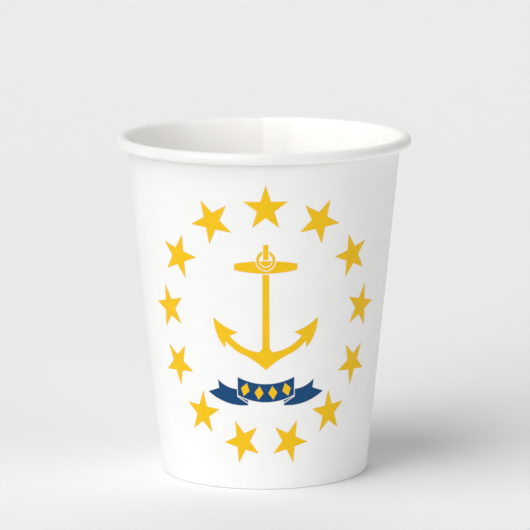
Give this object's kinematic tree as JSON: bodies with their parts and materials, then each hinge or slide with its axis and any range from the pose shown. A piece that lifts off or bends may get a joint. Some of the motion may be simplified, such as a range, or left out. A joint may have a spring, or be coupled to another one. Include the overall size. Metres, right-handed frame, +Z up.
{
  "type": "paper cup",
  "caption": "Tapered single-wall paper drinking cup with a rolled rim, lapped side seam, recessed bottom disc and a printed front.",
  "frame": {"origin": "centre of the foot ring, on the surface that the cup stands on", "axes": "+Z up along the cup's axis, -Y towards the middle of the printed front, +X to the print's right, so the side seam is at the back, towards +Y"},
  "size_m": [0.08, 0.08, 0.092],
  "materials": {
    "wall_board": "matte white bleached board, coated inside",
    "bottom_board": "matte white bleached board, coated on its upper face",
    "gold_ink": "flat golden yellow ink printed on paper",
    "blue_ink": "flat dark blue ink printed on paper"
  },
  "bodies": {
    "root": {"sidewall": "wall_board", "bottom_disc": "bottom_board", "printed_stars": "gold_ink", "printed_anchor": "gold_ink", "printed_ribbon": "blue_ink", "printed_lozenges": "gold_ink"}
  },
  "joints": []
}
